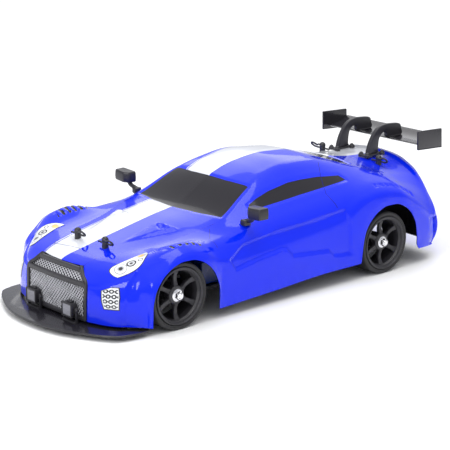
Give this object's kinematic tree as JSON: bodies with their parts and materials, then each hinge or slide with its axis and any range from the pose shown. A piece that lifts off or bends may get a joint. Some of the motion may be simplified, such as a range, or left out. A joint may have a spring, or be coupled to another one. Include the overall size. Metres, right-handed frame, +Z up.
{
  "type": "remote control car",
  "caption": "Electric remote control drift car with coupe body shell, rear wing, front splitter, four driven wheels, steering and sprung suspension.",
  "frame": {"origin": "under the middle of the car's overall box, on the ground", "axes": "+X towards the nose, +Y to the car's left, +Z up"},
  "size_m": [0.466, 0.214, 0.129],
  "materials": {
    "body_blue": "gloss paint behind clear polycarbonate",
    "black_plastic": "satin moulded nylon",
    "black_gloss": "satin moulded",
    "rim_black": "satin moulded nylon",
    "tyre_rubber": "slick rubber",
    "steel": "turned and plated",
    "spring_steel": "bright wire",
    "lens": "clear ribbed plastic",
    "foam": "closed-cell foam",
    "motor_can": "plated can",
    "battery_wrap": "shrink wrap",
    "electronics": "moulded case",
    "shock_metal": "anodised",
    "gear_brass": "turned",
    "gear_nylon": "moulded nylon"
  },
  "bodies": {
    "chassis": {"body_shell": "body_blue", "front_splitter": "black_plastic", "grille": "black_plastic", "fog_lamp_cases": "black_plastic", "fog_lamp_lenses": "lens", "door_mirrors": "black_plastic", "rear_wing": "black_gloss", "wing_struts": "black_plastic", "wing_bolts": "black_plastic", "chassis_plate": "black_plastic", "gearboxes": "black_plastic", "top_deck": "black_plastic", "front_bumper_foam": "foam", "shock_towers": "black_plastic", "shock_cylinders": "shock_metal", "body_posts": "black_plastic", "motor": "motor_can", "motor_mount": "shock_metal", "battery_pack": "battery_wrap", "battery_strap": "black_plastic", "speed_controller": "electronics", "receiver": "electronics", "steering_servo": "electronics", "front_left_spring": "spring_steel", "front_right_spring": "spring_steel", "rear_left_spring": "spring_steel", "rear_right_spring": "spring_steel"},
    "front_left_arm": {"front_left_arm": "black_plastic"},
    "front_left_carrier": {"front_left_carrier": "black_plastic"},
    "front_left_wheel": {"front_left_axle": "steel", "front_left_rim": "rim_black", "front_left_tyre": "tyre_rubber"},
    "front_left_knuckle": {"front_left_knuckle": "black_plastic"},
    "front_right_arm": {"front_right_arm": "black_plastic"},
    "front_right_carrier": {"front_right_carrier": "black_plastic"},
    "front_right_wheel": {"front_right_axle": "steel", "front_right_rim": "rim_black", "front_right_tyre": "tyre_rubber"},
    "front_right_knuckle": {"front_right_knuckle": "black_plastic"},
    "rear_left_arm": {"rear_left_arm": "black_plastic"},
    "rear_left_carrier": {"rear_left_carrier": "black_plastic"},
    "rear_left_wheel": {"rear_left_axle": "steel", "rear_left_rim": "rim_black", "rear_left_tyre": "tyre_rubber"},
    "rear_right_arm": {"rear_right_arm": "black_plastic"},
    "rear_right_carrier": {"rear_right_carrier": "black_plastic"},
    "rear_right_wheel": {"rear_right_axle": "steel", "rear_right_rim": "rim_black", "rear_right_tyre": "tyre_rubber"},
    "front_drive": {"front_differential": "steel"},
    "rear_drive": {"rear_differential": "steel"},
    "centre_drive": {"centre_shaft": "steel", "spur_gear": "gear_nylon"},
    "motor_shaft": {"motor_pinion": "gear_brass"},
    "servo_horn": {"servo_horn": "black_plastic"},
    "track_rod": {"track_rod": "black_plastic"},
    "front_left_clip": {"front_left_clip": "black_plastic"},
    "front_right_clip": {"front_right_clip": "black_plastic"},
    "rear_left_clip": {"rear_left_clip": "black_plastic"},
    "rear_right_clip": {"rear_right_clip": "black_plastic"}
  },
  "joints": [
    {"name": "front_left_suspension", "type": "hinge", "parent": "chassis", "child": "front_left_arm", "pos_m": [0.137, 0.026, 0.018], "axis": [1, 0, 0], "range_deg": [-3, 1.5], "stiffness_Nm_per_rad": 3.2, "springref_deg": -2.01, "deforming": ["front_left_spring"]},
    {"name": "front_left_upright", "type": "hinge", "parent": "front_left_arm", "child": "front_left_carrier", "pos_m": [0.137, 0.064, 0.018], "axis": [1, 0, 0], "range_deg": [-1.5, 3]},
    {"name": "front_left_steer", "type": "hinge", "parent": "front_left_carrier", "child": "front_left_knuckle", "pos_m": [0.137, 0.072, 0.031], "axis": [0, 0, 1], "range_deg": [-22, 22]},
    {"name": "front_left_wheel_spin", "type": "hinge", "parent": "front_left_knuckle", "child": "front_left_wheel", "pos_m": [0.137, 0.084, 0.031], "axis": [0, 1, 0], "continuous": true},
    {"name": "front_right_suspension", "type": "hinge", "parent": "chassis", "child": "front_right_arm", "pos_m": [0.137, -0.026, 0.018], "axis": [-1, 0, 0], "range_deg": [-3, 1.5], "stiffness_Nm_per_rad": 3.2, "springref_deg": -2.01, "deforming": ["front_right_spring"]},
    {"name": "front_right_upright", "type": "hinge", "parent": "front_right_arm", "child": "front_right_carrier", "pos_m": [0.137, -0.064, 0.018], "axis": [-1, 0, 0], "range_deg": [-1.5, 3]},
    {"name": "front_right_steer", "type": "hinge", "parent": "front_right_carrier", "child": "front_right_knuckle", "pos_m": [0.137, -0.072, 0.031], "axis": [0, 0, 1], "range_deg": [-22, 22]},
    {"name": "front_right_wheel_spin", "type": "hinge", "parent": "front_right_knuckle", "child": "front_right_wheel", "pos_m": [0.137, -0.084, 0.031], "axis": [0, 1, 0], "continuous": true},
    {"name": "rear_left_suspension", "type": "hinge", "parent": "chassis", "child": "rear_left_arm", "pos_m": [-0.123, 0.026, 0.018], "axis": [1, 0, 0], "range_deg": [-3, 3], "stiffness_Nm_per_rad": 3.6, "springref_deg": -2.01, "deforming": ["rear_left_spring"]},
    {"name": "rear_left_upright", "type": "hinge", "parent": "rear_left_arm", "child": "rear_left_carrier", "pos_m": [-0.123, 0.064, 0.018], "axis": [1, 0, 0], "range_deg": [-3, 3]},
    {"name": "rear_left_wheel_spin", "type": "hinge", "parent": "rear_left_carrier", "child": "rear_left_wheel", "pos_m": [-0.123, 0.084, 0.031], "axis": [0, 1, 0], "continuous": true},
    {"name": "rear_right_suspension", "type": "hinge", "parent": "chassis", "child": "rear_right_arm", "pos_m": [-0.123, -0.026, 0.018], "axis": [-1, 0, 0], "range_deg": [-3, 3], "stiffness_Nm_per_rad": 3.6, "springref_deg": -2.01, "deforming": ["rear_right_spring"]},
    {"name": "rear_right_upright", "type": "hinge", "parent": "rear_right_arm", "child": "rear_right_carrier", "pos_m": [-0.123, -0.064, 0.018], "axis": [-1, 0, 0], "range_deg": [-3, 3]},
    {"name": "rear_right_wheel_spin", "type": "hinge", "parent": "rear_right_carrier", "child": "rear_right_wheel", "pos_m": [-0.123, -0.084, 0.031], "axis": [0, 1, 0], "continuous": true},
    {"name": "front_drive_spin", "type": "hinge", "parent": "chassis", "child": "front_drive", "pos_m": [0.137, 0, 0.031], "axis": [0, 1, 0], "continuous": true},
    {"name": "rear_drive_spin", "type": "hinge", "parent": "chassis", "child": "rear_drive", "pos_m": [-0.123, 0, 0.031], "axis": [0, 1, 0], "continuous": true},
    {"name": "centre_shaft_spin", "type": "hinge", "parent": "chassis", "child": "centre_drive", "pos_m": [0.007, 0, 0.031], "axis": [1, 0, 0], "continuous": true},
    {"name": "motor_spin", "type": "hinge", "parent": "chassis", "child": "motor_shaft", "pos_m": [-0.053, -0.024, 0.031], "axis": [1, 0, 0], "continuous": true},
    {"name": "servo_horn_turn", "type": "hinge", "parent": "chassis", "child": "servo_horn", "pos_m": [0.09, -0.02, 0.0385], "axis": [0, 0, 1], "range_deg": [-22, 22]},
    {"name": "track_rod_slide", "type": "slide", "parent": "chassis", "child": "track_rod", "axis": [0, 1, 0], "range_m": [-0.009, 0.009]},
    {"name": "front_left_clip_pull", "type": "slide", "parent": "chassis", "child": "front_left_clip", "axis": [0, 1, 0], "range_m": [0, 0.014]},
    {"name": "front_right_clip_pull", "type": "slide", "parent": "chassis", "child": "front_right_clip", "axis": [0, 1, 0], "range_m": [0, 0.014]},
    {"name": "rear_left_clip_pull", "type": "slide", "parent": "chassis", "child": "rear_left_clip", "axis": [0, 1, 0], "range_m": [0, 0.014]},
    {"name": "rear_right_clip_pull", "type": "slide", "parent": "chassis", "child": "rear_right_clip", "axis": [0, -1, 0], "range_m": [0, 0.014]}
  ],
  "couplings": [
    {"joint": "front_left_upright", "follows": "front_left_suspension", "ratio": -1},
    {"joint": "front_left_wheel_spin", "follows": "rear_left_wheel_spin", "ratio": 1},
    {"joint": "front_right_upright", "follows": "front_right_suspension", "ratio": -1},
    {"joint": "front_right_wheel_spin", "follows": "rear_left_wheel_spin", "ratio": 1},
    {"joint": "rear_left_upright", "follows": "rear_left_suspension", "ratio": -1},
    {"joint": "rear_right_upright", "follows": "rear_right_suspension", "ratio": -1},
    {"joint": "rear_right_wheel_spin", "follows": "rear_left_wheel_spin", "ratio": 1},
    {"joint": "front_drive_spin", "follows": "rear_left_wheel_spin", "ratio": 1},
    {"joint": "rear_drive_spin", "follows": "rear_left_wheel_spin", "ratio": 1},
    {"joint": "centre_shaft_spin", "follows": "rear_left_wheel_spin", "ratio": -2.6},
    {"joint": "motor_spin", "follows": "rear_left_wheel_spin", "ratio": 7.8},
    {"joint": "servo_horn_turn", "follows": "front_left_steer", "ratio": -1},
    {"joint": "track_rod_slide", "follows": "front_left_steer", "m_per_rad": -0.0229},
    {"joint": "front_right_steer", "follows": "front_left_steer", "ratio": 1}
  ]
}
